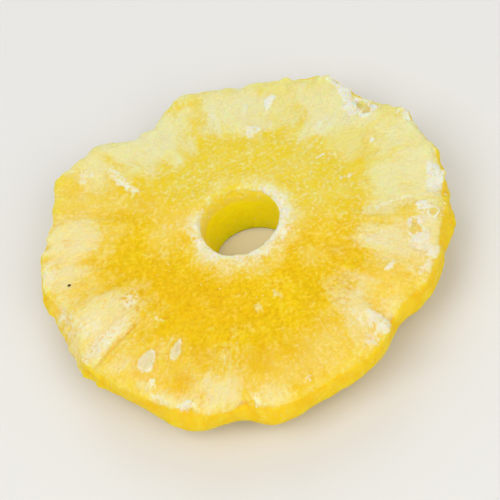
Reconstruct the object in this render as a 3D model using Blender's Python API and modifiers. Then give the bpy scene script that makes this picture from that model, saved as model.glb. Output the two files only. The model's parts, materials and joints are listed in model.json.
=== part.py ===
"""A dried pineapple ring: one cored slice of a small pineapple, candied and dried on a flat tray.

A washer is turned round the upright axis, with its edges rounded. Its points are then moved as the fruit
shapes itself: the outline gets its fruitlets and notches, the rim thins and lifts off the tray, and the
flesh puffs up between the creases that run in from the rim.

Metres, +Z up. The origin is under the middle of the slice, on the surface it rests on. Angles run
anticlockwise round the slice from +X. A share is 0 at the hole's wall and 1 at the rim, and a height share
is 0 underneath and 1 on top.
"""

import math

import bpy
import numpy as np
from mathutils import Vector, noise

MM = 0.001

# The slice's own sizes
RIM_RADIUS = 33.0 * MM
HOLE_RADIUS = 6.1 * MM
THICKNESS_AT_HOLE = 10.4 * MM
THICKNESS_AT_RIM = 7.0 * MM
RIM_TOP_DROP = 1.2 * MM
HOLE_OFFSET = Vector((0.6, 2.1, 0.0)) * MM

# The washer's edges
TOP_EDGE_RADIUS = 1.5 * MM
UNDER_EDGE_RADIUS = 3.0 * MM
HOLE_EDGE_RADIUS = 0.7 * MM

# The washer's segments
TURN_STEPS = 144
TOP_SPANS = 15
UNDER_SPANS = 8
WALL_SPANS = 3
CORNER_SPANS = 3
MERGE_WITHIN = 0.01 * MM

# The corer left the hole a little out of round: (waves round the hole, mm, degrees where it is widest)
HOLE_WAVES = ((1, 0.15, 240.0), (3, 0.10, 11.5))
# Its top edge is worn back, mostly on the side away from -Y
HOLE_WEAR = 0.40 * MM
HOLE_WEAR_SWING = 0.38 * MM
LEAST_WORN_AT = math.radians(305.0)
WORN_FROM = 0.78
# The flesh stands up in a low lip round the hole
LIP_HEIGHT = 0.3 * MM
LIP_WIDTH = 1.3 * MM

# The outline's crowns and notches, as (degrees, radius in mm)
OUTLINE = (
    (0, 34.2), (11, 33.9), (22, 34.2), (28, 33.0), (34, 32.4), (42, 33.5), (49, 34.0), (57, 33.0),
    (69, 32.2), (78, 32.1), (84, 32.8), (90, 33.5), (95, 32.2), (101, 30.3), (107, 29.9), (113, 30.4),
    (118, 33.6), (127, 35.3), (134, 36.3), (139, 34.6), (144, 33.4), (157, 33.1), (166, 34.1),
    (176, 33.5), (189, 33.0), (202, 33.6), (212, 32.7), (225, 32.6), (234, 34.0), (242, 34.3),
    (248, 32.7), (252, 31.9), (261, 34.1), (267, 33.8), (275, 32.6), (286, 32.5), (296, 32.1),
    (303, 30.7), (309, 30.6), (317, 32.2), (327, 32.8), (335, 32.7), (343, 34.0), (353, 33.6),
)
# The fruitlets spiral round a pineapple, so their notches lean as they run down the rim
NOTCH_LEAN = math.radians(5.0)

# How far the top edge is cut back from the outline, as (degrees, mm)
TOP_CUT_BACK = (
    (0, 0.3), (60, 0.2), (120, 0.3), (170, 0.4), (182, 1.8), (190, 3.2), (198, 1.9), (208, 0.5),
    (228, 0.5), (240, 1.6), (248, 0.3), (253, 0.3), (263, 0.9), (285, 0.4), (300, 0.2), (318, 0.4),
    (335, 0.7), (345, 1.3), (353, 0.6),
)
CUT_BACK_FROM = 0.35
CUT_BACK_TO = 0.95
# Low down the rim runs in under itself
RIM_UNDERCUT = 2.4 * MM
UNDERCUT_BELOW = 0.5

# The fruitlets' flesh between two creases: (degrees where it starts, where its crease begins as a share of
# the way to the rim, how deep the crease is in mm, how far the flesh puffs up in mm)
FRUITLETS = (
    (33, 0.60, 0.8, 0.5), (58, 0.70, 0.4, 0.3), (76, 0.66, 0.5, 0.5), (104, 0.62, 0.7, 0.6),
    (139, 0.60, 0.6, 0.4), (171, 0.55, 0.3, 0.6), (200, 0.45, 0.9, 0.3), (228, 0.65, 0.5, 0.5),
    (251, 0.72, 0.8, 0.4), (277, 0.66, 0.4, 0.3), (305, 0.52, 0.8, 0.5), (331, 0.58, 0.6, 0.5),
    (354, 0.55, 0.5, 0.6),
)
CREASE_HALF_WIDTH = 0.9 * MM
CREASE_FULL_AT = 0.98
PUFF_RISES_OVER = 0.3
# The top is a little wavy between them: how high, how far apart, and the seed
TOP_WAVES = (0.22 * MM, 7.0 * MM, 3.0)

# The underside lay flat on the tray this far out. It then curves up, and would level off past the rim
FLAT_TO = 0.56
LEVEL_AT = 1.15
# How far the rim's underside lifts off the tray beside its mean, as (degrees, mm)
RIM_LIFT = (
    (10, 0.3), (50, -0.2), (95, 0.4), (135, 0.5), (170, -0.1), (215, -0.3), (255, -0.4), (300, 0.0),
    (340, -0.2),
)
# It is wavy where it is off the tray
UNDER_WAVES = (0.25 * MM, 5.0 * MM, 11.0)
UNDER_WAVES_FULL_AT = 0.8


def smooth(low, high, value):
    """0 up to low, 1 from high, and an S-shaped step between them."""
    share = np.clip((value - low) / (high - low), 0.0, 1.0)
    return share * share * (3 - 2 * share)


def round_curve(points, angle):
    """A smooth closed curve through points given as (degrees, value), read at angles in radians."""
    degrees, values = np.array(points, float).T
    at = np.concatenate([degrees[-2:] - 360, degrees, degrees[:2] + 360])
    value = np.concatenate([values[-2:], values, values[:2]])
    slope = np.gradient(value, at)
    turned = (np.degrees(angle) - degrees[0]) % 360 + degrees[0]
    i = np.searchsorted(at, turned, side="right") - 1
    span = at[i + 1] - at[i]
    x = (turned - at[i]) / span
    rise = x * x * (3 - 2 * x)
    return (
        value[i] * (1 - rise)
        + value[i + 1] * rise
        + span * slope[i] * x * (1 - x) ** 2
        - span * slope[i + 1] * x * x * (1 - x)
    )


def arc(centre, radius, start, end):
    """Points along an arc in the profile's plane, angles in degrees."""
    turns = (math.radians(start + (end - start) * i / CORNER_SPANS) for i in range(CORNER_SPANS + 1))
    return [(centre[0] + radius * math.cos(a), centre[1] + radius * math.sin(a)) for a in turns]


def spread(start, end, spans):
    """The points between start and end, without the two ends."""
    return [
        (start[0] + (end[0] - start[0]) * i / spans, start[1] + (end[1] - start[1]) * i / spans)
        for i in range(1, spans)
    ]


def washer_profile():
    """The washer's section as (radius, height), down its outer side, in under it and up the hole."""
    top, under, hole = TOP_EDGE_RADIUS, UNDER_EDGE_RADIUS, HOLE_EDGE_RADIUS
    height = THICKNESS_AT_HOLE
    corners = (
        (arc((RIM_RADIUS - top, height - top), top, 90, 0), WALL_SPANS),
        (arc((RIM_RADIUS - under, under), under, 0, -90), UNDER_SPANS),
        (arc((HOLE_RADIUS + hole, hole), hole, -90, -180), WALL_SPANS),
        (arc((HOLE_RADIUS + hole, height - hole), hole, 180, 90), TOP_SPANS),
    )
    points = []
    for number, (corner, spans) in enumerate(corners):
        following = corners[(number + 1) % len(corners)][0]
        points += corner + spread(corner[-1], following[0], spans)
    return points


def turned_washer():
    """The washer as a mesh: its profile turned once round Z."""
    points = [Vector((radius, 0.0, height)) for radius, height in washer_profile()]
    mesh = bpy.data.meshes.new("washer_profile")
    mesh.from_pydata(points, [(i, (i + 1) % len(points)) for i in range(len(points))], [])
    profile = bpy.data.objects.new("washer_profile", mesh)
    bpy.context.scene.collection.objects.link(profile)
    turn = profile.modifiers.new("turn", "SCREW")
    turn.angle = math.tau
    turn.steps = TURN_STEPS
    turn.render_steps = TURN_STEPS
    turn.use_merge_vertices = True
    turn.merge_threshold = MERGE_WITHIN
    turned = profile.evaluated_get(bpy.context.evaluated_depsgraph_get())
    washer = bpy.data.meshes.new_from_object(turned)
    bpy.data.objects.remove(profile)
    return washer


def hole_radius(angle, height_share):
    """The hole's radius at a height, with its worn top edge."""
    uneven = sum(mm * np.cos(waves * (angle - math.radians(widest))) for waves, mm, widest in HOLE_WAVES)
    wear = HOLE_WEAR - HOLE_WEAR_SWING * np.cos(angle - LEAST_WORN_AT)
    return HOLE_RADIUS + MM * uneven + wear * smooth(WORN_FROM, 1.0, height_share)


def rim_radius(angle, height_share):
    """The outline's radius at a height."""
    leaned = angle + NOTCH_LEAN * (0.5 - height_share)
    cut_back = MM * round_curve(TOP_CUT_BACK, angle) * smooth(CUT_BACK_FROM, CUT_BACK_TO, height_share)
    undercut = RIM_UNDERCUT * smooth(UNDERCUT_BELOW, 0.0, height_share)
    return MM * round_curve(OUTLINE, leaned) - cut_back - undercut


def fruitlet_relief(angle, share):
    """How far the flesh stands up between its creases and sinks in them."""
    relief = np.zeros_like(angle)
    along_rim = RIM_RADIUS * np.maximum(share, 0.0)
    for number, (start, begins, depth, puff) in enumerate(FRUITLETS):
        end = FRUITLETS[(number + 1) % len(FRUITLETS)][0]
        width = (end - start) % 360
        turned = (np.degrees(angle) - start) % 360
        across = np.sin(math.pi * np.clip(turned / width, 0.0, 1.0))
        relief += puff * MM * across * smooth(begins, begins + PUFF_RISES_OVER, share)
        beside = np.radians((turned + 180) % 360 - 180) * along_rim / CREASE_HALF_WIDTH
        relief -= depth * MM * np.exp(-beside * beside) * smooth(begins, CREASE_FULL_AT, share)
    return relief


def waves(x, y, height, size, seed):
    """A slow, seeded waviness up to height each way, with bumps of about this size."""
    places = zip(x / size + seed, y / size)
    return height * np.array([noise.noise((across, along, 0.0)) for across, along in places])


def top_height(x, y, angle, share):
    """The top surface: it falls a little towards the rim, with a lip round the hole."""
    from_hole = share * (RIM_RADIUS - HOLE_RADIUS)
    lip = LIP_HEIGHT * np.exp(-(((from_hole - LIP_WIDTH) / LIP_WIDTH) ** 2))
    middle = THICKNESS_AT_HOLE - RIM_TOP_DROP * share**2
    return middle + lip + fruitlet_relief(angle, share) + waves(x, y, *TOP_WAVES)


def under_height(x, y, angle, share):
    """The underside: flat where it lay on the tray, and lifted at the rim."""
    lift = THICKNESS_AT_HOLE - RIM_TOP_DROP - THICKNESS_AT_RIM + MM * round_curve(RIM_LIFT, angle)
    curve = smooth(FLAT_TO, LEVEL_AT, share) / smooth(FLAT_TO, LEVEL_AT, 1.0)
    bumps = UNDER_WAVES[0] + waves(x, y, *UNDER_WAVES)
    return lift * curve + bumps * smooth(FLAT_TO, UNDER_WAVES_FULL_AT, share)


def centred(values):
    """Values moved so that the middle of their range is 0."""
    return values - (values.min() + values.max()) / 2


def dried_slice():
    """The washer's points moved to where the dried slice has them."""
    mesh = turned_washer()
    places = np.zeros(len(mesh.vertices) * 3)
    mesh.vertices.foreach_get("co", places)
    x, y, z = places.reshape(-1, 3).T
    angle = np.arctan2(y, x)
    share = (np.hypot(x, y) - HOLE_RADIUS) / (RIM_RADIUS - HOLE_RADIUS)
    height_share = z / THICKNESS_AT_HOLE

    inner = hole_radius(angle, height_share)
    radius = inner + share * (rim_radius(angle, height_share) - inner)
    off_middle = 1 - np.clip(share, 0.0, 1.0)
    x = radius * np.cos(angle) + HOLE_OFFSET.x * off_middle
    y = radius * np.sin(angle) + HOLE_OFFSET.y * off_middle
    under = under_height(x, y, angle, share)
    z = under + height_share * (top_height(x, y, angle, share) - under)

    moved = np.column_stack([centred(x), centred(y), z - z.min()])
    mesh.vertices.foreach_set("co", moved.ravel())
    mesh.update()
    return mesh


def candied_flesh():
    """Candied pineapple flesh: golden, matt and a little see-through."""
    material = bpy.data.materials.new("candied_pineapple_flesh")
    material.use_nodes = True
    shader = material.node_tree.nodes["Principled BSDF"]
    shader.inputs["Base Color"].default_value = (0.87, 0.62, 0.13, 1.0)
    shader.inputs["Roughness"].default_value = 0.5
    shader.inputs["Metallic"].default_value = 0.0
    return material


def main():
    for leftover in list(bpy.data.objects):
        bpy.data.objects.remove(leftover)
    collection = bpy.data.collections.new("dried_pineapple")
    bpy.context.scene.collection.children.link(collection)
    mesh = dried_slice()
    mesh.shade_smooth()
    mesh.materials.clear()
    mesh.materials.append(candied_flesh())
    ring = bpy.data.objects.new("pineapple_ring", mesh)
    collection.objects.link(ring)


main()
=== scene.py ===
"""The looks of a dried, candied pineapple ring.

The frame holds the slice's form. Here its facets are rounded and fine relief is worked into the flesh, which
then gets its golden and pale parts and its sugar frosting. Loose sugar grains and crumbs of torn flesh lie
on it.

Metres, +Z up. A place on the slice is (degrees, share): degrees anticlockwise round it from +X, and the share
of the way out from the hole's wall, 0, to the rim, 1. A slope is the height of a point's normal: 1 where it
faces up, 0 sideways and -1 down. A pair of numbers read by smooth() is where something sets in and where it
is full. A mask is a number from 0 to 1 for each point.
"""

import json
import math

import bmesh
import bpy
import numpy as np
from mathutils import Matrix, Quaternion, Vector, noise


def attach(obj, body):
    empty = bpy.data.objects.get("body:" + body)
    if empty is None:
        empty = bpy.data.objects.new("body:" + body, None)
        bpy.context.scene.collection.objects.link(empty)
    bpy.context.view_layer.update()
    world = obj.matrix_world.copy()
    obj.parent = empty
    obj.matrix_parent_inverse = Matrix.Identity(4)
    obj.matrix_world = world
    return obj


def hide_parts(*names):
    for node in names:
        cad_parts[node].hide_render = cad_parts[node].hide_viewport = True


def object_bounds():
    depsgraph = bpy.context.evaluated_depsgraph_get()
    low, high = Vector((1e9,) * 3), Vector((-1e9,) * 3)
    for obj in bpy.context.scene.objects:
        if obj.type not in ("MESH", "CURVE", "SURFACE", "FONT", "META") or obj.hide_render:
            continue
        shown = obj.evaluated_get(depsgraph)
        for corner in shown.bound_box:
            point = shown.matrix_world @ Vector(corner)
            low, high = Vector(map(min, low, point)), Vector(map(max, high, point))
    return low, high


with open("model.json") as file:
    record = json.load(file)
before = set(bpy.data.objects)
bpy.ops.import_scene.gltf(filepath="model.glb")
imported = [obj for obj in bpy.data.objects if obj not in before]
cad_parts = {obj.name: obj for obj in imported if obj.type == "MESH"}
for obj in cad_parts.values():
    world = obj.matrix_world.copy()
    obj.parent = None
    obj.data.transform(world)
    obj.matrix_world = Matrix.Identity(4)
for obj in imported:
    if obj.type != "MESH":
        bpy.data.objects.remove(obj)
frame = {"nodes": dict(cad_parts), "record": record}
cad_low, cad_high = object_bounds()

MM = 0.001
DEGREE = math.radians(1.0)
NODE = "pineapple_ring"

# The core's hole, from the frame
HOLE_LOW, HOLE_HIGH = (Vector(corner) for corner in frame["record"]["physics"]["openings"][0]["box_m"])
HOLE_MIDDLE = (HOLE_LOW + HOLE_HIGH) / 2
HOLE_RADIUS = 6.5 * MM
# The fibres run out from the hole as if from this point at the rim
SPOKES_MEET = Vector((-0.5, -0.13, 0.0)) * MM
RIM_RADIUS = 33.0 * MM
# In the fibres' own space the way from hole to rim is this short, so what is round there is a long streak
FIBRE_LENGTH = 5.0 * MM
# The outline is read in this many sectors, and a place's share is found in this many rounds
SECTORS = 144
SHARE_ROUNDS = 8

# The mesh
MERGE_WITHIN = 0.001 * MM
FACES_DOWN = -0.99999
UNDERSIDE_CUTS = 3
QUAD_FOLD, QUAD_SKEW = 60 * DEGREE, 120 * DEGREE
ROUNDING_LEVELS = 2

# Patches are (degrees, share, half width in degrees, half length as a share, lean in degrees per share,
# strength). A pineapple's flesh dries pale where its fibres run out to the fruitlets
PALE_FLESH = (
    # Away from the camera
    (-1, 0.82, 10, 0.24, 4, 0.85), (14, 0.88, 8, 0.16, -6, 0.8), (39, 0.74, 7, 0.26, 0, 0.95),
    (50, 0.80, 8, 0.24, 0, 0.6), (66, 0.62, 4, 0.20, -6, 0.75), (73, 0.73, 6, 0.22, -4, 0.9),
    (83, 0.72, 5, 0.20, -6, 0.85), (96, 0.78, 4, 0.22, -6, 0.5), (107, 0.80, 8, 0.26, -11, 0.95),
    (118, 0.76, 5, 0.28, -14, 0.9), (30, 0.80, 5, 0.12, 0, 0.8), (62, 0.53, 5, 0.06, 0, 0.9),
    (131, 0.82, 4.5, 0.20, -15, 0.65), (157, 0.82, 8.5, 0.20, 2, 1.0), (170, 0.87, 6, 0.17, 0, 0.85),
    # Towards the camera
    (182, 0.86, 5, 0.12, 0, 0.5), (196, 0.73, 10, 0.25, -6, 1.0), (209, 0.88, 7, 0.08, 0, 0.35),
    (203, 0.91, 3, 0.07, 0, 0.6), (229, 0.93, 8, 0.06, 0, 0.65), (245, 0.89, 9, 0.12, 0, 0.8),
    (249, 0.66, 3, 0.14, -6, 0.4), (262, 0.92, 6, 0.07, 0, 0.5), (294, 0.84, 5, 0.14, 0, 0.45),
    (300, 0.72, 5, 0.22, 0, 0.75), (309, 0.64, 6, 0.12, 0, 0.6), (307, 0.93, 5, 0.07, 0, 0.7),
    (323, 0.92, 4, 0.08, 0, 0.6), (331, 0.70, 7, 0.26, 0, 1.0), (338, 0.88, 6, 0.12, 0, 0.8),
    (349, 0.68, 4, 0.22, 18, 0.75), (350, 0.88, 5, 0.10, 0, 0.7),
    # Two flecks in the core
    (264, 0.36, 2.4, 0.030, 0, 1.0), (276, 0.34, 3.0, 0.022, 0, 0.8),
)
# Sugar crust and torn white fibre
WHITE_FLECKS = (
    # Away from the camera
    (-3, 0.95, 4.2, 0.07, 0, 1.0), (-7, 0.91, 2.0, 0.03, 0, 0.7), (8, 0.46, 0.9, 0.05, 0, 0.6),
    (18, 0.71, 1.2, 0.022, 0, 0.9), (20, 0.98, 3.0, 0.03, 0, 0.8), (28, 0.43, 0.9, 0.045, 0, 0.7),
    (39, 0.66, 4.0, 0.10, 0, 0.4), (42, 0.97, 7.0, 0.04, 0, 0.8), (38, 0.90, 3.0, 0.10, 50, 0.9),
    (64, 0.77, 2.0, 0.065, 0, 1.0), (68, 0.52, 5.0, 0.05, 0, 0.6), (72, 0.68, 2.0, 0.12, 0, 0.4),
    (85, 0.66, 1.6, 0.13, 0, 0.4), (94, 0.66, 0.8, 0.05, -20, 0.5), (118, 0.97, 2.5, 0.035, 0, 0.6),
    (131, 0.57, 2.4, 0.15, -20, 0.65), (133, 0.81, 3.4, 0.05, 0, 0.5), (156, 0.21, 2.4, 0.04, 0, 0.5),
    (168, 0.93, 5.0, 0.05, 0, 0.45),
    # Towards the camera
    (186, 0.93, 4.5, 0.05, -50, 0.45), (194, 0.83, 5.0, 0.08, 0, 0.45), (196, 0.56, 3.4, 0.05, 0, 0.5),
    (202, 0.80, 2.6, 0.18, 0, 0.6), (211, 0.545, 7.0, 0.014, 30, 0.6), (226, 0.88, 1.8, 0.025, 0, 0.7),
    (229, 0.94, 3.5, 0.018, 0, 0.65), (238, 0.94, 3.5, 0.022, 0, 0.85), (258, 0.93, 1.4, 0.04, 0, 0.6),
    (264, 0.36, 1.6, 0.020, 0, 0.4), (273, 0.90, 0.8, 0.016, 0, 0.5), (276, 0.34, 2.2, 0.016, 0, 0.3),
    (296, 0.95, 3.5, 0.04, 0, 0.6), (301, 0.92, 2.4, 0.11, 0, 0.85), (298, 0.80, 1.2, 0.12, 0, 0.5),
    (320, 0.76, 2.2, 0.030, 0, 1.0), (323, 0.95, 2.8, 0.04, 0, 0.5), (329, 0.95, 3.0, 0.035, 0, 0.9),
    (333, 0.86, 3.6, 0.07, 0, 0.8), (331, 0.62, 4.0, 0.12, 0, 0.4), (341, 0.86, 4.0, 0.08, 0, 0.5),
    (346, 0.84, 1.8, 0.035, 0, 1.0), (349, 0.67, 0.9, 0.18, 18, 0.6),
)
# Clear syrup-soaked flesh
DEEP_GOLD = (
    # Away from the camera
    (11, 0.27, 3, 0.03, 0, 0.9), (53, 0.36, 6, 0.04, 0, 0.4), (70, 0.40, 10, 0.06, 0, 0.8),
    (90, 0.33, 10, 0.05, 0, 0.5), (120, 0.37, 6, 0.03, -30, 0.7), (138, 0.38, 9, 0.07, 0, 0.8),
    (149, 0.54, 5, 0.03, 0, 0.6),
    # Towards the camera
    (180, 0.52, 6, 0.05, 0, 0.6), (190, 0.40, 8, 0.05, 0, 0.4), (212, 0.66, 4, 0.05, 0, 0.3),
    (226, 0.34, 34, 0.14, 0, 0.85), (228, 0.52, 8, 0.08, 0, 0.5), (234, 0.81, 4, 0.07, 0, 1.0),
    (239, 0.63, 5, 0.07, 0, 0.8), (262, 0.68, 6, 0.10, 0, 0.8), (274, 0.69, 5, 0.09, 0, 0.65),
    (284, 0.62, 5, 0.09, 0, 0.5), (314, 0.46, 9, 0.07, 0, 0.4), (316, 0.64, 2.5, 0.10, 0, 0.5),
    (321, 0.38, 7, 0.10, 0, 0.6), (335, 0.37, 4, 0.035, 0, 0.8),
)
# Flesh dulled by a thin haze of sugar
HAZY_FLESH = (
    (153, 0.21, 26, 0.15, 0, 0.75), (310, 0.28, 7, 0.13, 0, 0.7), (154, 0.58, 15, 0.13, 0, 0.6),
    (209, 0.60, 6, 0.12, 0, 0.7), (189, 0.52, 5, 0.08, 0, 0.5), (288, 0.52, 6, 0.05, 0, 0.4),
    (343, 0.28, 8, 0.12, 0, 0.4), (63, 0.48, 8, 0.08, 0, 0.4),
)
# Yellower flesh between the pale patches, where the pale dried flesh and painted sheen of the side away are
# thin
YELLOW_GAPS = (
    (13, 0.60, 7.0, 0.20, 0, 0.6), (54, 0.62, 6.0, 0.14, 0, 0.5), (91, 0.66, 4.5, 0.30, -6, 0.9),
    (99, 0.92, 5.0, 0.08, 0, 0.8), (113, 0.55, 5.0, 0.10, 0, 0.4), (126, 0.70, 4.0, 0.10, -12, 0.7),
    (142, 0.74, 7.5, 0.34, -4, 1.0), (151, 0.60, 5.0, 0.14, 0, 0.7),
)
# How soft each table's patches are at their outlines, as a share of their size
PALE_SOFT = 0.6
WHITE_SOFT = 0.45
DEEP_SOFT = 0.7
HAZY_SOFT = 0.8
GAP_SOFT = 0.7
RELIEF_SOFT = 0.3
WEDGE_SOFT = 0.5

# Holes torn in the flesh: (degrees, share, half width in degrees, half length as a share, lean, depth in mm)
PITS = (
    (32.5, 0.915, 2.4, 0.060, 45, 0.45),
    (337, 0.83, 2.2, 0.038, -20, 0.24),
    (343, 0.895, 1.4, 0.022, 0, 0.18),
)
PIT_EDGE = (1.15, 0.75)
# A pit's white rim: how far out it lies and how wide it is, in pits' widths, and its height in mm
PIT_RIM_AT, PIT_RIM_WIDTH, PIT_RIM_HEIGHT = 1.35, 0.36, 0.30
# Seeds' cells, each with a pale lip round it: (degrees, share, half width in degrees, half length, lean)
SEEDS = ((220, 0.79, 2.6, 0.072, 6), (228, 0.65, 1.9, 0.065, 4))
SEED_EDGE = (1.1, 0.8)
# Each is slimmer by this share towards the hole, as a pip is
SEED_TAPER = 0.35
# Where the lip and the moat round it lie and how wide they are, in seeds' widths
SEED_LIP_AT, SEED_LIP_WIDTH = 0.92, 0.16
SEED_MOAT_AT, SEED_MOAT_WIDTH = 1.5, 0.25
# Their heights in mm
SEED_DOME, SEED_LIP, SEED_MOAT = 0.42, 0.10, 0.16
# Relief: the last number is the height in mm, below 0 for a dent
FEATURES = (
    # A slit in the smaller seed
    (228.4, 0.64, 0.6, 0.035, 0, -0.35),
    # Raised flecks
    (64, 0.765, 1.6, 0.060, 0, 0.40), (66, 0.51, 2.6, 0.045, 0, 0.25), (320, 0.76, 2.2, 0.030, 0, 0.45),
    (264, 0.36, 2.6, 0.028, 0, 0.25), (276, 0.34, 3.0, 0.020, 0, 0.20), (226, 0.88, 2.2, 0.030, 0, 0.25),
    (131, 0.56, 1.5, 0.150, -20, 0.25), (211, 0.545, 7.0, 0.014, 30, 0.30), (301, 0.92, 1.4, 0.110, 0, 0.30),
    (349, 0.67, 0.9, 0.180, 18, 0.15), (239, 0.94, 2.2, 0.018, 0, 0.25), (231, 0.93, 2.2, 0.014, 0, 0.20),
    (133, 0.81, 3.2, 0.050, 0, 0.30), (-3, 0.95, 3.6, 0.060, 0, 0.35), (346, 0.84, 1.6, 0.035, 0, 0.45),
    (329, 0.95, 2.6, 0.035, 0, 0.35), (258, 0.93, 1.6, 0.050, 0, 0.25), (18, 0.71, 1.0, 0.022, 0, 0.25),
    # A tooth that stands out of the rim, and two chips out of it
    (-2.6, 1.0, 1.0, 0.025, 0, 0.80), (253.5, 0.99, 1.6, 0.040, 0, -0.70), (305, 0.99, 1.4, 0.040, 0, -0.60),
    # Pale wedges that stand a little proud
    (107, 0.80, 8.0, 0.22, -11, 0.30), (120, 0.74, 6.0, 0.24, -14, 0.25), (157, 0.84, 8.0, 0.16, 2, 0.30),
    (331, 0.66, 6.0, 0.20, 0, 0.25), (246, 0.86, 8.0, 0.13, 0, 0.25), (39, 0.74, 6.0, 0.22, 0, 0.25),
    (79, 0.70, 8.0, 0.20, 0, 0.25), (0, 0.76, 9.0, 0.22, 4, 0.25),
)
# The palest wedge stands proudest: (degrees, share, half width in degrees, half length, lean, height in mm)
WEDGE = (195, 0.76, 9.5, 0.28, -8, 0.65)
# It ends in a straight crease: (degrees, share where it starts, half width in mm, depth in mm)
STRAIGHT_CREASE = (205.0, 0.50, 0.35, 0.60)
CREASE_STARTS_OVER = 0.2
# Past the crease the flesh isn't pale, over this far in mm: a band of gold that is a painted shadow of the
# crease
CREASE_SHADOW_FROM, CREASE_SHADOW_TO, CREASE_SHADOW_OUT = (-0.1, 0.3), (2.5, 1.5), (0.5, 0.6)

# Relief without places of its own: (height in mm, size in mm, seed)
FIBRE_RIDGES = (0.13, 1.3, 1.0)
FLESH_GRAIN = (0.09, 1.1, 2.0)
CRUST = (0.24, 0.9, 3.0)
WALL_RIPPLE = (0.18, 2.2, 4.0)
TRAY_MARKS = (0.09, 2.6, 5.0)
SWELLS = (0.36, 4.5, 14.0)
RAGGED_EDGE = ((0.85, 2.6, 15.0), (0.42, 1.2, 16.0))
# The outline is ragged mostly here: (degrees, half width in degrees, strength). Elsewhere this much is left
RAGGED_PLACES = ((40, 26, 1.0), (128, 24, 0.7), (182, 34, 1.0), (354, 14, 1.0))
RAGGED_ELSEWHERE = 0.30
# Such a place fades over this much of its width
RAGGED_FADE = (1.3, 0.7)
# A furrow runs round the core: its depth in mm, its share and its half width as a share
CORE_FURROW, FURROW_AT, FURROW_WIDTH = 0.22, 0.45, 0.06
# How uneven outlines are: (height, size in mm, seed). The height is an angle, a share, or for the worn edge
# metres
FIBROUS_LEAN = (1.0 * DEGREE, 3.0, 6.0)
WIDE_FIBROUS_LEAN = (1.6 * DEGREE, 3.0, 6.0)
FINE_LEAN = (0.8 * DEGREE, 1.1, 28.0)
ROUGH_SHARE = (0.02, 2.0, 7.0)
WIDE_ROUGH_SHARE = (0.03, 2.0, 7.0)
FINE_SHARE = (0.012, 0.9, 27.0)
TORN_LEAN, TORN_SHARE = (1.5 * DEGREE, 1.6, 24.0), (0.030, 1.3, 25.0)
HALO_SHARE, COLLAR_SHARE = (0.05, 3.0, 10.0), (0.03, 1.4, 9.0)
WORN_HEIGHT = (0.5 * MM, 1.8, 21.0)
# Pale patches end in streaks, longer in some places than in others
STREAK_MEAN, STREAK_SWING = 0.04, (0.05, 8.0, 12.0)
STREAK_END = (1.0, 1.3, 8.0)
# Noises that are masks once smoothed: (1, size in mm, seed) and where they set in and are full
COLLAR_LUMPS, LUMPY = (1.0, 1.8, 22.0), (-0.3, 0.4)
SUGAR_DRIFTS, DRIFTED = (1.0, 5.0, 26.0), (0.0, 0.5)
CRUMB_CLUMPS, CLUMPED = (1.0, 3.0, 23.0), (0.05, 0.45)

# Slopes at which a surface counts as one of these
TOP_SLOPE = (0.35, 0.80)
UPPER_SLOPE = (0.10, 0.50)
CRUST_SLOPE = (0.10, 0.60)
RIM_SLOPE = (-0.60, 0.00)
PALE_SLOPE = (0.40, 0.74)
DOWN_SLOPE = (0.45, 0.85)
LYING_SLOPE = (0.45, 0.75)
STEEP_SLOPE = (0.65, 0.30)
BROKEN_SLOPE_FROM, BROKEN_SLOPE_TO = (-0.1, 0.3), (0.95, 0.70)
# Round the hole and where the edge is cut back, slopes steeper by this much are still as pale as the top
PALE_SLOPE_MORE = 0.28
# Shares at which the slice counts as one of these
OUTER = (0.35, 0.60)
FIBROUS = (0.35, 0.62)
OUTER_WALL = (0.40, 0.60)
RIM = (0.90, 0.97)
RIM_CRUST = (0.93, 0.98)
RIM_FLECKS = (0.80, 0.90)
AT_HOLE = (0.14, 0.08)
HOLE_CRUST = (0.10, 0.02)
COLLAR = (0.12, 0.00)
PALE_COLLAR = (0.17, 0.02)
HALO = (0.26, 0.08)
HAZY_FROM, HAZY_TO = 0.46, 0.80
# On the dull side the haze and its painted sheen begin and are full nearer the hole, by this much
DULL_FROM, DULL_TO = 0.04, 0.18
# Heights off the table, so that nothing loose lies on it
OFF_TABLE = (0.5 * MM, 1.0 * MM)

# Sides of the slice: the direction, and the cosines from it at which the side sets in and is full
# This one faces away from the camera. It is paler and greener, partly its own drier, frostier flesh and
# partly a painted sheen of the light from behind
AWAY = (60 * DEGREE, (-0.05, 0.60))
# Here the core is dulled, partly by a haze of sugar and partly by a painted sheen
DULL_SHEEN_SIDE = (60 * DEGREE, (-0.60, 0.30))
# Here the edge is cut back, and its slope is as pale as the top
CUT_BACK = (189 * DEGREE, (math.cos(17 * DEGREE), 1.0))
# Here the hole's edge is worn, down to this height, and here it is bare of sugar. The worn edge takes the
# top's pale colours: partly its own paler flesh, partly painted light on its steep, shaded slope
WORN_SIDE = (125 * DEGREE, (-0.30, 0.70))
WORN_DOWN_TO = (7.5 * MM, 8.0 * MM)
BARE_SIDE = (92 * DEGREE, (0.45, 0.90))

# The dark speck: (degrees, share), on the part of the ring above this height, its radius and its squash
SPECK_AT = (175.5, 0.82)
SPECK_ABOVE = 5.0 * MM
SPECK_RADIUS = 0.27 * MM
SPECK_SQUASH = (1.15, 0.90, 0.45)

# The flesh's noises: (the space it is read in, size in mm, detail, distortion). A bloom of sugar has grains
# of 0.1 to 0.2 mm, which are too fine to show, so its grain is drawn as coarse as it needs to be seen
NOISES = {
    "grain": ("flesh", 0.65, 1.0, 0.0),
    "wrinkles": ("flesh", 1.1, 1.0, 1.6),
    "mottle": ("flesh", 2.2, 2.0, 0.0),
    "blotch": ("flesh", 3.6, 1.0, 0.0),
    "cloud": ("flesh", 7.0, 2.0, 0.0),
    "strands": ("fibres", 0.8, 3.0, 0.0),
    "streaks": ("short fibres", 0.50, 1.5, 0.8),
}
NOISE_ROUGHNESS = 0.55
SHORTER_FIBRES = (1.0, 1.0, 1.8)
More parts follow.
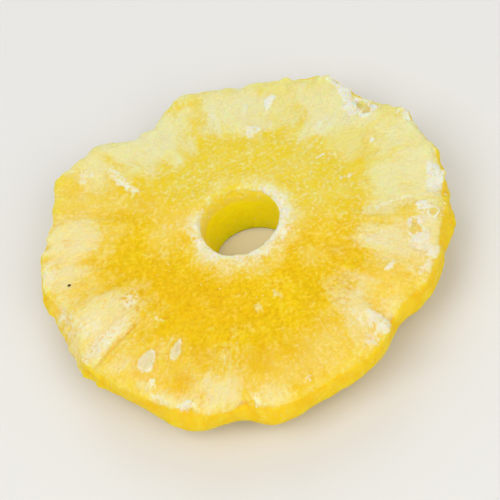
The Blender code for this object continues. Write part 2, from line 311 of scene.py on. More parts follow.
# The masks that the material reads from the ring's points
KEPT = (
    "haze_and_sheen", "veil_and_sheen", "pale", "wall", "bore_glow", "inside", "deep", "frost", "seed", "white", "green_and_sheen", "fibrous",
)
# Smooth steps of a mask or a noise: (which, from, to, value up to there, value from there)
STEPS = {
    "unhazed": ("haze_and_sheen", 0.10, 0.70, 1.00, 0.00),
    "near": ("green_and_sheen", 0.00, 0.60, 1.00, 0.00),
    "clouded": ("cloud", 0.35, 0.65, 0.00, 1.00),
    "mottled": ("mottle", 0.35, 0.65, 0.00, 1.00),
    "streaky": ("green_and_sheen", 0.00, 1.00, 0.45, 0.30),
    "round spots": ("grain", 0.44, 0.70, 0.00, 1.00),
    "long spots": ("streaks", 0.44, 0.70, 0.00, 1.00),
    "spotted": ("mottle", 0.35, 0.60, 0.25, 1.00),
    "clear spots": ("grain", 0.30, 0.58, 1.00, 0.00),
    "clear places": ("mottle", 0.38, 0.62, 0.75, 0.25),
    "bright places": ("mottle", 0.42, 0.62, 0.00, 1.00),
}
# The flesh's layers, from the bottom up: (mask, the noises that roughen it and how much, from where it shows,
# how much it covers, its colour on the near side, its colour on the side away). The paler, cooler colours on
# the side away are partly a painted sheen
LAYERS = (
    # Haze of sugar, with a painted sheen on the dull side
    ("haze_and_sheen", {"grain": 0.7, "blotch": 1.4}, 0.10, 1.00, "#f2d255", "#ecd558"),
    # Pale dried flesh on the side away from the camera, partly a painted sheen
    ("veil_and_sheen", {"blotch": 1.2, "strands": 0.7}, 0.15, 0.90, "#ebe08c", "#ebe08c"),
    ("pale", {"strands": 0.8, "grain": 0.9, "blotch": 1.1}, 0.05, 1.00, "#f0e2a5", "#ece6ae"),
    # The outer wall: its own gold, painted a little brighter than the top's, partly a painted glow
    ("wall", {}, 0.00, 0.92, None, None),
    # The hole's bore: its own lemon gold, painted brighter still as a painted glow of light through the flesh
    ("bore_glow", {}, 0.00, 1.00, "#ffe60c", "#ffe60c"),
    ("inside", {}, 0.00, 0.85, "#efdf84", "#ece59e"),
    ("deep", {}, 0.00, 0.80, "#ecbc04", "#eccf20"),
    ("clear", {}, 0.00, 1.00, "#e3b200", "#e3b200"),
    ("bloom", {}, 0.00, 0.80, None, None),
    ("seed", {}, 0.00, 0.85, "#e6dab4", "#e6dab4"),
    ("white", {"grain": 1.2, "strands": 0.6}, 0.20, 1.00, "#f4edd4", "#efefde"),
)
# How much each of these raises the skin, as a share of the height that the bump stands for
BUMPS = {"grain": 0.6, "wrinkles": 0.9, "bloom": 0.4}
BUMP_HEIGHT, BUMP_STRENGTH = 0.30 * MM, 0.9
# Roughness of the clear skin and of the skin dulled most, by this much of haze, white and grain together
SATIN, DULL, DULLED_AT = 0.34, 0.62, 1.2
# How far light of each colour, red, green and blue, runs inside the flesh
GLOW_RADIUS = (5.0 * MM, 3.2 * MM, 0.6 * MM)

# The camera sees the ring from above, turned so that the photograph's ring and this one lie alike
VIEW_ELEVATION = 52.2 * DEGREE
VIEW_ROLL = 20.4 * DEGREE
VIEW_DISTANCE = 0.36
SENSOR = 36.0
WIDTH_IN_FRAME = 0.84


def linear(hex_colour):
    """An sRGB hex colour as linear RGBA."""
    channels = [int(hex_colour[i : i + 2], 16) / 255 for i in (1, 3, 5)]
    return [c / 12.92 if c <= 0.04045 else ((c + 0.055) / 1.055) ** 2.4 for c in channels] + [1.0]


def smooth(low, high, value):
    """0 up to low, 1 from high, and an S-shaped step between them."""
    share = np.clip((value - low) / (high - low), 0.0, 1.0)
    return share * share * (3 - 2 * share)


def ridge(value, at, half_width):
    """1 where the value is at the ridge's line, falling away on both sides."""
    return np.exp(-(((value - at) / half_width) ** 2))


def waves(places, height, size_mm, seed):
    """A seeded waviness up to about the height each way, with bumps of about this size."""
    shift = Vector((seed, 0.0, 0.0))
    return height * np.array([noise.noise(Vector(place) / (size_mm * MM) + shift) for place in places])


def turned_from(angle, degrees):
    """How many degrees each angle is past a direction, from -180 to 180."""
    return (np.degrees(angle) - degrees + 180) % 360 - 180


def new_piece(name, mesh):
    piece = bpy.data.objects.new(name, mesh)
    bpy.context.scene.collection.objects.link(piece)
    return piece


def applied(piece):
    """The piece with its modifiers applied."""
    graph = bpy.context.evaluated_depsgraph_get()
    mesh = bpy.data.meshes.new_from_object(piece.evaluated_get(graph))
    piece.modifiers.clear()
    piece.data = mesh
    return piece


def smooth_copy(node, name):
    """A CAD node's own form as a new piece, with an even mesh and its facets rounded."""
    mesh = frame["nodes"][node].data.copy()
    shape = bmesh.new()
    shape.from_mesh(mesh)
    bmesh.ops.remove_doubles(shape, verts=shape.verts, dist=MERGE_WITHIN)
    shape.normal_update()
    flat = [f for f in shape.faces if f.normal.z < FACES_DOWN and f.calc_center_median().z < MERGE_WITHIN]
    bmesh.ops.delete(shape, geom=flat, context="FACES")
    edges = [edge for edge in shape.edges if edge.is_boundary]
    bridge = bmesh.ops.bridge_loops(shape, edges=edges)
    bmesh.ops.subdivide_edges(shape, edges=bridge["edges"], cuts=UNDERSIDE_CUTS, use_grid_fill=True)
    bmesh.ops.join_triangles(
        shape,
        faces=shape.faces,
        angle_face_threshold=QUAD_FOLD,
        angle_shape_threshold=QUAD_SKEW,
        topology_influence=1.0,
    )
    bmesh.ops.recalc_face_normals(shape, faces=shape.faces)
    shape.to_mesh(mesh)
    shape.free()
    piece = new_piece(name, mesh)
    rounding = piece.modifiers.new("rounding", "SUBSURF")
    rounding.levels = ROUNDING_LEVELS
    rounding.render_levels = ROUNDING_LEVELS
    return applied(piece)


def places_on_slice(places):
    """Each point's angle in radians and its share of the way from the hole's wall to the outline."""
    from_middle = places[:, :2] - np.array(SPOKES_MEET.xy)
    angle = np.arctan2(from_middle[:, 1], from_middle[:, 0])
    radius = np.hypot(from_middle[:, 0], from_middle[:, 1])
    sector = np.floor((angle + math.pi) / math.tau * SECTORS).astype(int) % SECTORS
    outline = np.zeros(SECTORS)
    np.maximum.at(outline, sector, radius)
    middles = (np.arange(SECTORS) + 0.5) / SECTORS * math.tau - math.pi
    hole = np.array((HOLE_MIDDLE - SPOKES_MEET).xy)
    share = np.full(len(places), 0.5)
    for _ in range(SHARE_ROUNDS):
        spoke = from_middle - hole * (1 - share)[:, None]
        angle = np.arctan2(spoke[:, 1], spoke[:, 0])
        rim = np.interp(angle, middles, outline, period=math.tau)
        share = (np.hypot(spoke[:, 0], spoke[:, 1]) - HOLE_RADIUS) / (rim - HOLE_RADIUS)
        share = np.clip(share, 0.0, 1.0)
    return angle, share


class Skin:
    """A mesh's points: where each lies, which way it faces and its place on the slice."""

    def __init__(self, mesh):
        places = np.zeros(len(mesh.vertices) * 3)
        normals = np.zeros(len(mesh.vertices) * 3)
        mesh.vertices.foreach_get("co", places)
        mesh.vertex_normals.foreach_get("vector", normals)
        self.places, self.normals = places.reshape(-1, 3), normals.reshape(-1, 3)
        self.height, self.slope = self.places[:, 2], self.normals[:, 2]
        self.angle, self.share = places_on_slice(self.places)
        # In this space the flesh's fibres run along the third axis
        round_rim = RIM_RADIUS * np.cos(self.angle), RIM_RADIUS * np.sin(self.angle)
        self.fibres = np.column_stack([*round_rim, FIBRE_LENGTH * self.share])

    def side(self, direction, cosines):
        """A side of the slice as a mask."""
        return smooth(*cosines, np.cos(self.angle - direction))

    def soft_places(self):
        """The angles and shares, made uneven along the fibres."""
        return self.angle + waves(self.fibres, *FIBROUS_LEAN), self.share + waves(self.places, *ROUGH_SHARE)

    def fine_places(self):
        """The same, and uneven at the size of single grains too."""
        angle, share = self.soft_places()
        return angle + waves(self.places, *FINE_LEAN), share + waves(self.places, *FINE_SHARE)

    def torn_places(self):
        """The angles and shares, made uneven at the size of torn fibres."""
        return self.angle + waves(self.places, *TORN_LEAN), self.share + waves(self.places, *TORN_SHARE)

    def streaked_places(self):
        """The angles and shares, made uneven so that outlines end in long streaks."""
        streaks = (STREAK_MEAN + waves(self.places, *STREAK_SWING)) * waves(self.fibres, *STREAK_END)
        angle = self.angle + waves(self.fibres, *WIDE_FIBROUS_LEAN)
        return angle, self.share + streaks + waves(self.places, *WIDE_ROUGH_SHARE)


def distance(angle, share, degrees, at, half_width, half_length, lean):
    """How far each point is from the middle of a rounded patch on the slice: 1 at the patch's outline."""
    across = turned_from(angle, degrees + lean * (share - at)) / half_width
    return np.hypot(across, (share - at) / half_length)


def patch(angle, share, *where, soft):
    """1 in a rounded patch on the slice and 0 outside it."""
    return smooth(1 + soft, 1 - soft, distance(angle, share, *where))


def patches(table, angle, share, soft):
    """Where a table's patches are, as a mask, laid over each other."""
    left = np.ones_like(angle)
    for *where, strength in table:
        left *= 1 - strength * patch(angle, share, *where, soft=soft)
    return 1 - left


def pits_and_rims(angle, share):
    """Where the torn holes are and where their rims are, as masks, and how deep the holes are in mm."""
    inside, rims, depth = (np.zeros_like(angle) for _ in range(3))
    for *where, deep in PITS:
        away = distance(angle, share, *where)
        hole = smooth(*PIT_EDGE, away)
        inside = np.maximum(inside, hole)
        rims = np.maximum(rims, ridge(away, PIT_RIM_AT, PIT_RIM_WIDTH))
        depth = np.maximum(depth, deep * hole)
    return inside, rims, depth


def seeds_and_lips(angle, share):
    """Where the seeds are, where their pale lips are and where the moats round them are, as masks."""
    seeds, lips, moats = (np.zeros_like(angle) for _ in range(3))
    for degrees, at, half_width, half_length, lean in SEEDS:
        width = half_width * (1 - SEED_TAPER * np.clip((at - share) / half_length, -1, 1))
        away = distance(angle, share, degrees, at, width, half_length, lean)
        seeds = np.maximum(seeds, smooth(*SEED_EDGE, away))
        lips = np.maximum(lips, ridge(away, SEED_LIP_AT, SEED_LIP_WIDTH))
        moats = np.maximum(moats, ridge(away, SEED_MOAT_AT, SEED_MOAT_WIDTH))
    return seeds, lips, moats


def beyond_crease(skin):
    """How far each point lies past the straight crease, in mm."""
    return np.radians(turned_from(skin.angle, STRAIGHT_CREASE[0])) * skin.share * RIM_RADIUS / MM


def ragged_edge(angle):
    """How ragged the outline is at each angle, up to 1."""
    ragged = np.full_like(angle, RAGGED_ELSEWHERE)
    for degrees, half_width, strength in RAGGED_PLACES:
        fade = (limit * half_width for limit in RAGGED_FADE)
        ragged = np.maximum(ragged, strength * smooth(*fade, np.abs(turned_from(angle, degrees))))
    return ragged


def even_relief(skin):
    """The relief that has no places of its own, in mm: fibres, grain, crust, swells and the ragged rim."""
    top = smooth(*TOP_SLOPE, skin.slope)
    under = smooth(*TOP_SLOPE, -skin.slope)
    wall = 1 - top - under
    outer = smooth(*OUTER, skin.share)
    crust = np.maximum(smooth(*HOLE_CRUST, skin.share), 0.7 * smooth(*RIM_CRUST, skin.share))
    edge = smooth(*RIM, skin.share) * smooth(*RIM_SLOPE, skin.slope) * ragged_edge(skin.angle)

    relief = waves(skin.fibres, *FIBRE_RIDGES) * outer * (1 - wall)
    relief += waves(skin.places, *FLESH_GRAIN) * top
    relief += waves(skin.places, *CRUST) * crust * smooth(*CRUST_SLOPE, skin.slope)
    relief += waves(skin.places, *WALL_RIPPLE) * wall * smooth(*OUTER_WALL, skin.share)
    relief += waves(skin.fibres, *SWELLS) * outer * top
    for ripple in RAGGED_EDGE:
        relief += waves(skin.places, *ripple) * edge
    relief -= CORE_FURROW * ridge(skin.share, FURROW_AT, FURROW_WIDTH) * top
    relief += (waves(skin.places, *TRAY_MARKS) - TRAY_MARKS[0]) * under
    return relief


def placed_relief(skin):
    """The relief that has places, in mm: flecks, wedges, pits, seeds and the straight crease."""
    soft_places = skin.soft_places()
    _, rims, depth = pits_and_rims(*skin.torn_places())
    seeds, lips, moats = seeds_and_lips(skin.angle, skin.share)
    relief = PIT_RIM_HEIGHT * rims - depth + SEED_DOME * seeds + SEED_LIP * lips - SEED_MOAT * moats
    for *where, height in FEATURES:
        relief += height * patch(*soft_places, *where, soft=RELIEF_SOFT)

    past = beyond_crease(skin)
    _, begins, half_width, depth = STRAIGHT_CREASE
    *where, height = WEDGE
    before = smooth(0.5 * half_width, -0.5 * half_width, past)
    relief += height * patch(*soft_places, *where, soft=WEDGE_SOFT) * before
    begun = smooth(begins, begins + CREASE_STARTS_OVER, skin.share)
    crease = depth * ridge(past, half_width, half_width) * begun
    return relief * smooth(*UPPER_SLOPE, skin.slope) - crease * smooth(*TOP_SLOPE, skin.slope)


def facings(skin):
    """Which way the flesh faces, as masks by name, with the hole's worn edge counted as part of the top."""
    at_hole = smooth(*AT_HOLE, skin.share)
    cut_back = skin.side(*CUT_BACK)
    bevel = skin.side(*WORN_SIDE) * smooth(*WORN_DOWN_TO, skin.height + waves(skin.places, *WORN_HEIGHT))
    steep = smooth(*STEEP_SLOPE, skin.slope)
    more = PALE_SLOPE_MORE * np.maximum(at_hole, cut_back)
    up = smooth(PALE_SLOPE[0] - more, PALE_SLOPE[1] - more, skin.slope)
    # The worn edge counts as facing up, so it takes the top's pale colours: partly its own paler flesh,
    # partly painted light on its steep, shaded slope
    up = np.maximum(up, at_hole * bevel * (1 - 0.45 * steep))
    down = smooth(*DOWN_SLOPE, -skin.slope)
    return {
        "up": up,
        "down": down,
        "side": 1 - np.maximum(up, down),
        "at hole": at_hole,
        "cut back": cut_back,
        "worn edge": at_hole * bevel,
        "steep bevel": bevel * steep,
    }


def before_crease(skin):
    """1, but 0 in the band just past the straight crease, kept free of pale and white as a painted shadow."""
    past = beyond_crease(skin)
    shade = smooth(*CREASE_SHADOW_FROM, past) * smooth(*CREASE_SHADOW_TO, past)
    return 1 - shade * smooth(*CREASE_SHADOW_OUT, skin.share)


def collars(skin, facing):
    """The masks of the sugar crust round the hole and of the pale flesh under it."""
    near_hole = skin.share + waves(skin.places, *COLLAR_SHARE)
    bare = skin.side(*BARE_SIDE)
    lumpy = 0.75 + 0.25 * smooth(*LUMPY, waves(skin.places, *COLLAR_LUMPS))
    crust = smooth(*COLLAR, near_hole) * lumpy * (1 - 0.75 * bare) * (1 - 0.6 * facing["steep bevel"])
    return crust, 0.75 * smooth(*PALE_COLLAR, near_hole) * (1 - 0.6 * bare)


def haze_veil_and_sheen(skin, inside):
    """The masks of the haze of sugar and of pale dried flesh on the side away from the camera, both partly
    painted sheen.
    """
    angle, share = skin.streaked_places()
    dull = skin.side(*DULL_SHEEN_SIDE)
    outward = smooth(HAZY_FROM - DULL_FROM * dull, HAZY_TO - DULL_TO * dull, share)
    halo = smooth(*HALO, skin.share + waves(skin.places, *HALO_SHARE))
    # On the dull side part of this is a painted sheen
    haze_and_sheen = np.maximum(np.maximum(0.8 * outward, 0.8 * halo), 0.55 * dull)
    haze_and_sheen = np.maximum(haze_and_sheen, patches(HAZY_FLESH, angle, skin.share, HAZY_SOFT))
    gaps = patches(YELLOW_GAPS, angle, skin.share, GAP_SOFT)
    # The second mask, on the side away, is partly a painted sheen
    return haze_and_sheen * (1 - 0.7 * inside), outward * skin.side(*AWAY) * (1 - inside) * (1 - 0.8 * gaps)


def sugared(skin, facing, white, crust, pale):
    """How thick sugar grains lie on the flesh, up to 1."""
    drifts = 0.07 * smooth(*DRIFTED, waves(skin.places, *SUGAR_DRIFTS))
    lying = smooth(*LYING_SLOPE, skin.slope) * (drifts + 0.35 * white + 0.9 * crust + 0.1 * pale)
    return (lying + 0.05 * facing["side"]) * smooth(*OFF_TABLE, skin.height)


def torn(skin, facing, rims, white):
    """How thick crumbs of torn flesh lie, up to 1: along the broken edge and on the rims of the pits."""
    clumps = smooth(*CLUMPED, waves(skin.places, *CRUMB_CLUMPS))
    broken = smooth(*RIM, skin.share) * smooth(*BROKEN_SLOPE_FROM, skin.slope)
    broken = broken * smooth(*BROKEN_SLOPE_TO, skin.slope)
    broken = broken * smooth(RAGGED_ELSEWHERE, 1.0, ragged_edge(skin.angle))
    on_rims = np.maximum(rims, 0.5 * white * smooth(*RIM_FLECKS, skin.share)) * facing["up"]
    return np.maximum(0.18 * clumps * broken, on_rims) * smooth(*OFF_TABLE, skin.height)


def flesh_masks(skin):
    """Every mask that the ring's points keep, by name."""
    facing = facings(skin)
    up, side, worn_edge, at_hole = (facing[name] for name in ("up", "side", "worn edge", "at hole"))
    inside, rims, _ = pits_and_rims(*skin.torn_places())
    seeds, lips, moats = seeds_and_lips(skin.angle, skin.share)
    crust, pale_collar = collars(skin, facing)
    haze_and_sheen, veil_and_sheen = haze_veil_and_sheen(skin, inside)
    # Pale and white stop short past the crease, leaving its painted shadow
    pale = patches(PALE_FLESH, *skin.streaked_places(), PALE_SOFT) * before_crease(skin)
    pale = np.maximum(pale, pale_collar)
    white = patches(WHITE_FLECKS, *skin.fine_places(), WHITE_SOFT) * before_crease(skin)
    white = np.maximum(white, 0.95 * rims) * (1 - inside)
    white = np.maximum(white * (1 - seeds), 0.8 * lips)
    deep = np.maximum(patches(DEEP_GOLD, *skin.fine_places(), DEEP_SOFT), 0.3 * moats) * up
    frost = up * (1 - 0.5 * worn_edge) * (1 - 0.8 * seeds) * (1 - 0.65 * deep)
    return {
        "haze_and_sheen": haze_and_sheen,
        "veil_and_sheen": veil_and_sheen,
        # On the worn edge this pale is partly painted light
        "pale": np.maximum(pale * (1 - inside), 0.3 * worn_edge) * up,
        # The outer wall, painted a little brighter, partly a painted glow
        "wall": side * (1 - at_hole) * (1 - 0.4 * facing["cut back"]),
        # The bore, painted bright as a painted glow
        "bore_glow": side * at_hole,
        "inside": inside * up,
        "deep": deep,
        "frost": frost + 0.2 * side * (1 - at_hole) + 0.3 * facing["down"],
        "seed": seeds * up,
        "white": np.maximum(white, np.maximum(0.95 * crust, 0.1 * worn_edge)) * up,
        # The side away from the camera: partly greener, frostier flesh, partly a painted sheen
        "green_and_sheen": skin.side(*AWAY),
        "fibrous": smooth(*FIBROUS, skin.share),
        "sugared": sugared(skin, facing, white, crust, pale),
        "torn": torn(skin, facing, rims, white),
    }


def candied_ring():
    """The slice's flesh with its relief, and where it is pale, frosted, golden or greenish, with painted
    sheen and glow.
    """
    piece = smooth_copy(NODE, "candied_ring")
    mesh = piece.data
    skin = Skin(mesh)
    relief = (even_relief(skin) + placed_relief(skin)) * MM
    moved = skin.places + skin.normals * relief[:, None]
    moved[:, 2] = np.maximum(moved[:, 2], 0.0)
    mesh.vertices.foreach_set("co", moved.ravel())
    mesh.shade_smooth()
    mesh.update()
    for name, mask in flesh_masks(skin).items():
        mesh.attributes.new(name, "FLOAT", "POINT").data.foreach_set("value", mask.astype(np.float32))
    along = mesh.attributes.new("fibres", "FLOAT_VECTOR", "POINT")
    along.data.foreach_set("vector", skin.fibres.astype(np.float32).ravel())

    mesh.materials.clear()
    mesh.materials.append(candied_pineapple())
    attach(piece, "root")
    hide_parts(NODE)
    return piece


def add(tree, kind, links=None, **settings):
    """A new node in the tree, with its own settings and with what goes into its inputs.

    An input gets a value, a hex colour, a socket, or a node, which stands for its first output in use.
    """
    node = tree.nodes.new(kind)
    for name, value in settings.items():
        setattr(node, name, value)
    for name, value in (links or {}).items():
        named = [socket for socket in node.inputs if socket.enabled and socket.name == name]
        socket = named[0] if named else node.inputs[name]
        if isinstance(value, bpy.types.Node):
            value = next(output for output in value.outputs if output.enabled)
        if isinstance(value, bpy.types.NodeSocket):
            tree.links.new(value, socket)
        elif isinstance(value, str) and value.startswith("#"):
            socket.default_value = linear(value)
        else:
            socket.default_value = value
    return node


def flesh_noises(tree):
    """The flesh's noises by name, each from 0 to 1."""
    place = add(tree, "ShaderNodeTexCoord").outputs["Object"]
    fibres = add(tree, "ShaderNodeAttribute", attribute_name="fibres").outputs["Vector"]
    shorter = add(tree, "ShaderNodeVectorMath", {0: fibres, 1: SHORTER_FIBRES}, operation="MULTIPLY")
    spaces = {"flesh": place, "fibres": fibres, "short fibres": shorter}
    noises = {}
    for name, (space, size_mm, detail, distortion) in NOISES.items():
        links = {"Vector": spaces[space], "Scale": 1 / (size_mm * MM), "Roughness": NOISE_ROUGHNESS}
        links.update({"Detail": detail, "Distortion": distortion})
        noises[name] = add(tree, "ShaderNodeTexNoise", links)
    return noises


def shader_masks(tree):
    """What the flesh's colours are laid by, by name: its points' masks, its noises, and steps of both."""
    masks = {}
    for name in KEPT:
        masks[name] = add(tree, "ShaderNodeAttribute", attribute_name=name).outputs["Fac"]
    masks.update(flesh_noises(tree))
    for name, (source, low, high, first, last) in STEPS.items():
        links = {"Value": masks[source], "From Min": low, "From Max": high, "To Min": first, "To Max": last}
        masks[name] = add(tree, "ShaderNodeMapRange", links, interpolation_type="SMOOTHSTEP")
    streaked = add(tree, "ShaderNodeMath", {0: masks["fibrous"], 1: masks["streaky"]}, operation="MULTIPLY")
    spots = {"Factor": streaked, "A": masks["round spots"], "B": masks["long spots"]}
    masks["spots"] = add(tree, "ShaderNodeMix", spots, data_type="FLOAT")
    for name, first, second in (
        ("core", "unhazed", "near"),
        ("clear", "clear spots", "clear places"),
        ("clear", "clear", "core"),
        ("bloom", "spots", "spotted"),
        ("bloom", "bloom", "frost"),
    ):
        masks[name] = add(tree, "ShaderNodeMath", {0: masks[first], 1: masks[second]}, operation="MULTIPLY")
    return masks


def rough_noises(tree, masks):
    """The noises that roughen masks, about 0. Strands show only where the flesh is fibrous."""
    rough = {}
    for name in ("grain", "blotch", "strands"):
        rough[name] = add(tree, "ShaderNodeMath", {0: masks[name], 1: 0.5}, operation="SUBTRACT")
    links = {0: rough["strands"], 1: masks["fibrous"]}
    rough["strands"] = add(tree, "ShaderNodeMath", links, operation="MULTIPLY")
    return rough


def flesh_shades(tree, masks):
    """The colours of the gold below, the wall and the bloom, which are each mixed of several.

    A name in place of a hex colour is a shade that was mixed before. The wall's colours are a little brighter
    than the gold, partly a painted glow.
    """
    shades = {}
    for name, mask, first, second in (
        ("gold", "clouded", "#eec503", "#f4cf08"),
        # The gold is paler on the side away, partly a painted sheen
        ("gold", "green_and_sheen", "gold", "#ecd02c"),
        # The wall's gold, painted a little brighter, partly a painted glow
        ("wall", "mottled", "#f9c90e", "#fad322"),
        ("core bloom", "bright places", "#fbd414", "#fcd93c"),
        # The bloom is cooler on the side away, partly a painted sheen
        ("bloom", "green_and_sheen", "#fde483", "#f3e695"),
        ("bloom", "core", "bloom", "core bloom"),
    ):
        links = {"Factor": masks[mask], "A": shades.get(first, first), "B": shades.get(second, second)}
        shades[name] = add(tree, "ShaderNodeMix", links, data_type="RGBA")
    return shades


def layered_flesh(tree, masks, rough):
    """The flesh's colour, and how white it is."""
    shades = flesh_shades(tree, masks)
    colour = shades["gold"]
    for name, roughened, shows_from, covers, near, away in LAYERS:
        cover = masks[name]
        for kind, amount in roughened.items():
            links = {0: rough[kind], 1: amount, 2: cover}
            cover = add(tree, "ShaderNodeMath", links, operation="MULTIPLY_ADD")
        easing = "SMOOTHSTEP" if roughened else "LINEAR"
        links = {"Value": cover, "From Min": shows_from, "To Max": covers}
        cover = add(tree, "ShaderNodeMapRange", links, interpolation_type=easing)
        shade = shades.get(name)
        if near:
            links = {"Factor": masks["green_and_sheen"], "A": near, "B": away}
            shade = add(tree, "ShaderNodeMix", links, data_type="RGBA")
        links = {"Factor": cover, "A": colour, "B": shade}
        colour = add(tree, "ShaderNodeMix", links, data_type="RGBA")
    return colour, cover


def candied_pineapple():
    """Candied pineapple: syrup-soaked flesh dried to a satin skin under a bloom of fine sugar.

    To the eye it is clear gold that glows a little from inside, clouded to cream where the fibres have dried,
    with a fine sandy grain, soft broad highlights and no hard gloss. The hole's bore and the outer wall are
    painted brighter than the top's gold, a painted glow of light through the flesh.
    """
    material = bpy.data.materials.new("candied_pineapple")
    material.use_nodes = True
    tree = material.node_tree
    shader = tree.nodes["Principled BSDF"]
    masks = shader_masks(tree)
    rough = rough_noises(tree, masks)
    colour, white = layered_flesh(tree, masks, rough)
    tree.links.new(colour.outputs["Result"], shader.inputs["Base Color"])

    dull = add(tree, "ShaderNodeMath", {0: masks["haze_and_sheen"], 1: white}, operation="ADD")
    dull = add(tree, "ShaderNodeMath", {0: dull, 1: rough["grain"]}, operation="ADD")
    links = {"Value": dull, "From Max": DULLED_AT, "To Min": SATIN, "To Max": DULL}
    satin = add(tree, "ShaderNodeMapRange", links, interpolation_type="SMOOTHSTEP")
    tree.links.new(satin.outputs["Result"], shader.inputs["Roughness"])
    height = rough["strands"]
    for name, amount in BUMPS.items():
        height = add(tree, "ShaderNodeMath", {0: masks[name], 1: amount, 2: height}, operation="MULTIPLY_ADD")
    links = {"Strength": BUMP_STRENGTH, "Distance": BUMP_HEIGHT, "Height": height}
    tree.links.new(add(tree, "ShaderNodeBump", links).outputs["Normal"], shader.inputs["Normal"])

    shader.inputs["IOR"].default_value = 1.45
    shader.inputs["Specular IOR Level"].default_value = 0.10
    shader.inputs["Subsurface Weight"].default_value = 0.8
    shader.inputs["Subsurface Radius"].default_value = GLOW_RADIUS
    shader.inputs["Subsurface Scale"].default_value = 1.0
    return material


def plain_material(name, colour, **values):
    """A material of one colour. Values are the shader's own inputs, with _ for a space in their names."""
    material = bpy.data.materials.new(name)
    material.use_nodes = True
    shader = material.node_tree.nodes["Principled BSDF"]
    shader.inputs["Base Color"].default_value = linear(colour)
    for setting, value in values.items():
        shader.inputs[setting.replace("_", " ")].default_value = value
    return material


def crystal_sugar():
    """Crystal sugar: near-white flat grains whose faces catch the light as small sparks on the flesh."""
    return plain_material("crystal_sugar", "#ffeda0", Roughness=0.22, IOR=1.54)


def torn_fibre():
    """Broken dried flesh with sugar on it: chalky cream with no shine."""
    return plain_material("torn_fibre", "#f7eab8", Roughness=0.6, Specular_IOR_Level=0.2)


def dried_eye():
    """Dried brown skin of the fruit's eye: a matt dark fleck."""
    return plain_material("dried_eye", "#4a2c12", Roughness=0.5)


def matt_white_board():
    """Painted board: an even warm white without shine."""
    return plain_material("matt_white_board", "#e6e4df", Roughness=0.7)


def scattered(name, ring, mask, most_per_mm2, smallest_mm, largest_mm, tilt, seed):
    """Small lumps on the ring's surface, as one mesh, thick where the mask is high.

    Sizes are along the surface, along it and out of it. Each lump turns freely and tilts this far.
    """
    group = bpy.data.node_groups.new(name, "GeometryNodeTree")
    group.interface.new_socket("Geometry", in_out="INPUT", socket_type="NodeSocketGeometry")
    group.interface.new_socket("Geometry", in_out="OUTPUT", socket_type="NodeSocketGeometry")
    amount = add(group, "GeometryNodeInputNamedAttribute", {"Name": mask}, data_type="FLOAT")
    density = add(group, "ShaderNodeMath", {0: amount, 1: most_per_mm2 / MM**2}, operation="MULTIPLY")
    links = {"Mesh": add(group, "NodeGroupInput"), "Density": density, "Seed": seed}
    points = add(group, "GeometryNodeDistributePointsOnFaces", links, distribute_method="RANDOM")
    links = {"Min": (-tilt, -tilt, 0.0), "Max": (tilt, tilt, math.tau), "Seed": seed + 1}
    turns = add(group, "FunctionNodeRandomValue", links, data_type="FLOAT_VECTOR")
    links = {"Rotation": points.outputs["Rotation"], "Rotate By": turns}
    turned = add(group, "FunctionNodeRotateRotation", links, rotation_space="LOCAL")
    links = {"Min": Vector(smallest_mm) * MM, "Max": Vector(largest_mm) * MM, "Seed": seed + 2}
    sizes = add(group, "FunctionNodeRandomValue", links, data_type="FLOAT_VECTOR")
    lump = add(group, "GeometryNodeMeshIcoSphere")
    links = {"Points": points, "Instance": lump, "Rotation": turned, "Scale": sizes}
    lumps = add(group, "GeometryNodeInstanceOnPoints", links)
    real = add(group, "GeometryNodeRealizeInstances", {"Geometry": lumps})
    add(group, "NodeGroupOutput", {"Geometry": real})
    piece = new_piece(name, ring.data.copy())
    piece.modifiers.new("scatter", "NODES").node_group = group
    applied(piece)
    for kept in list(piece.data.attributes):
        if not kept.is_internal and not kept.is_required:
            piece.data.attributes.remove(kept)
    piece.data.materials.clear()
    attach(piece, "root")
    return piece


def sugar_grains(ring):
    """Flat grains of sugar, thickest round the hole and on the white flecks."""
    piece = scattered(
        "sugar_grains",
        ring,
        "sugared",
        most_per_mm2=2.2,
        smallest_mm=(0.07, 0.06, 0.03),
        largest_mm=(0.20, 0.16, 0.07),
        tilt=25 * DEGREE,
        seed=41,
    )
    piece.data.materials.append(crystal_sugar())


def torn_crumbs(ring):
    """Crumbs of torn flesh on the rims of the pits and along the broken edge."""
    piece = scattered(
        "torn_crumbs",
        ring,
        "torn",
        most_per_mm2=1.6,
        smallest_mm=(0.12, 0.12, 0.08),
        largest_mm=(0.42, 0.34, 0.24),
        tilt=40 * DEGREE,
        seed=61,
    )
    piece.data.materials.append(torn_fibre())


def dark_speck(ring):
    """A tiny dark fleck of the fruit's eye that was left in the flesh."""
    skin = Skin(ring.data)
    degrees, share = SPECK_AT
    miss = np.hypot(turned_from(skin.angle, degrees), 100 * (skin.share - share))
    miss[skin.height < SPECK_ABOVE] = np.inf
    place = Matrix.Translation(skin.places[np.argmin(miss)])
    mesh = bpy.data.meshes.new("dark_speck")
    shape = bmesh.new()
    bmesh.ops.create_icosphere(shape, subdivisions=2, radius=SPECK_RADIUS)
    shape.transform(place @ Matrix.Diagonal((*SPECK_SQUASH, 1.0)))
    shape.to_mesh(mesh)
    shape.free()
    mesh.shade_smooth()
    mesh.materials.append(dried_eye())
    piece = new_piece("dark_speck", mesh)
    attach(piece, "root")


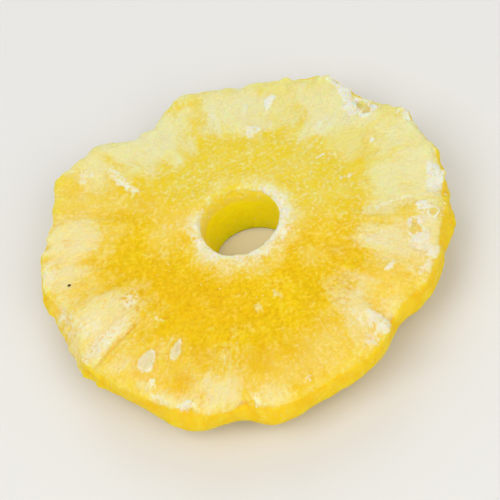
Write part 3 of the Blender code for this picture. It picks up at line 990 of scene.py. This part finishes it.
def table_top():
    """A plain pale table top."""
    mesh = bpy.data.meshes.new("table_top")
    shape = bmesh.new()
    bmesh.ops.create_grid(shape, x_segments=1, y_segments=1, size=1.5)
    shape.to_mesh(mesh)
    shape.free()
    mesh.materials.append(matt_white_board())
    new_piece("table_top", mesh)


def lamp(name, place, watts, colour, size=0.50):
    """A soft square lamp turned towards the ring."""
    light = bpy.data.lights.new(name, "AREA")
    light.size = size
    light.energy = watts
    light.color = linear(colour)[:3]
    lamp_object = bpy.data.objects.new(name, light)
    lamp_object.location = place
    lamp_object.rotation_mode = "QUATERNION"
    lamp_object.rotation_quaternion = (-Vector(place)).to_track_quat("-Z", "Y")
    bpy.context.scene.collection.objects.link(lamp_object)


def studio():
    """Soft daylight: a bright even sky, broad windows at the left and in front, and a weaker one behind."""
    world = bpy.data.worlds.new("soft_daylight")
    world.use_nodes = True
    sky = world.node_tree.nodes["Background"]
    sky.inputs["Color"].default_value = linear("#f4f6fb")
    sky.inputs["Strength"].default_value = 0.48
    bpy.context.scene.world = world
    lamp("window", (-0.34, -0.16, 0.55), 1.76, "#fdfbf6")
    lamp("front_window", (0.20, -0.42, 0.46), 1.74, "#fdfbf6")
    lamp("back_window", (0.10, 0.60, 0.45), 1.35, "#eef4ff")
    bpy.context.scene.view_settings.view_transform = "Standard"


def camera():
    """The camera at the photograph's angle, rolled as the photograph's ring is tilted in its picture."""
    middle = (cad_low + cad_high) / 2
    width = cad_high.x - cad_low.x
    lens = bpy.data.cameras.new("camera")
    lens.sensor_width = SENSOR
    lens.lens = SENSOR * VIEW_DISTANCE * WIDTH_IN_FRAME / width
    lens.clip_start = 0.01
    lens.clip_end = 10.0
    back = Vector((0.0, -math.cos(VIEW_ELEVATION), math.sin(VIEW_ELEVATION)))
    eye = bpy.data.objects.new("camera", lens)
    eye.location = middle + back * VIEW_DISTANCE
    eye.rotation_mode = "QUATERNION"
    eye.rotation_quaternion = (-back).to_track_quat("-Z", "Y") @ Quaternion((0, 0, 1), -VIEW_ROLL)
    bpy.context.scene.collection.objects.link(eye)
    bpy.context.scene.camera = eye


camera()
studio()
table_top()
ring = candied_ring()
sugar_grains(ring)
torn_crumbs(ring)
dark_speck(ring)
